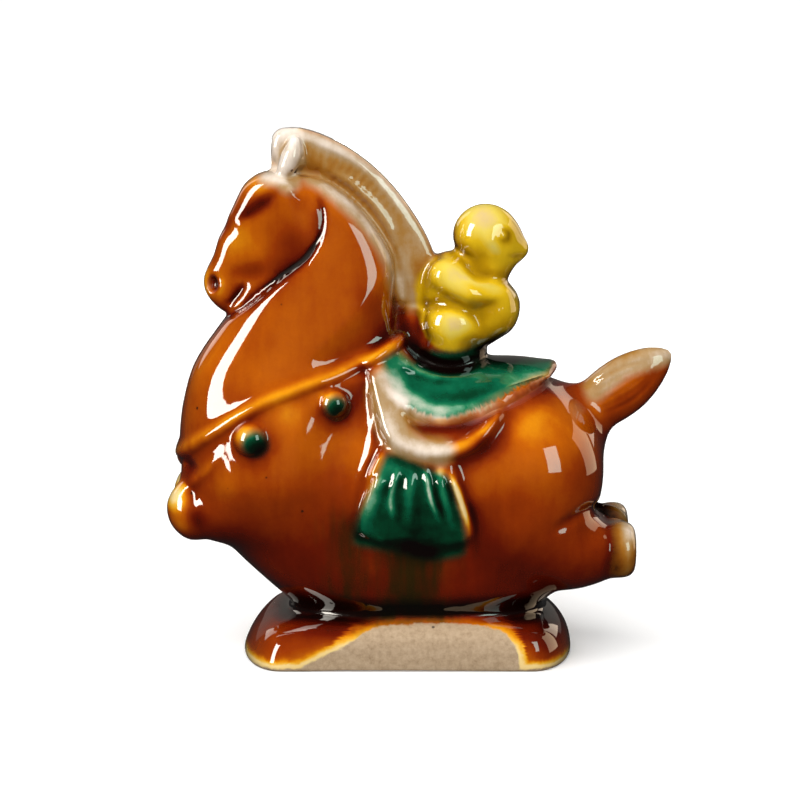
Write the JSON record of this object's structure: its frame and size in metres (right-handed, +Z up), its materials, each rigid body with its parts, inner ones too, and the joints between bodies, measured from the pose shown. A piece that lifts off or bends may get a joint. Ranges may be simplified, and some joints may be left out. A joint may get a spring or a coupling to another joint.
{
  "type": "ceramic horse figurine",
  "caption": "Moulded glazed ceramic ornament: a galloping horse with cropped mane, saddle cloths and breast strap bells, a squatting monkey on its back, on a rounded plinth.",
  "frame": {"origin": "middle of the plinth's flat underside", "axes": "+Z up, the horse faces -X, its left flank faces -Y"},
  "size_m": [0.1051, 0.0454, 0.1103],
  "materials": {
    "glazed_ceramic": "glossy amber, green, yellow and cream lead glaze over cream earthenware"
  },
  "bodies": {
    "root": {"horse_figurine": "glazed_ceramic"}
  },
  "joints": []
}
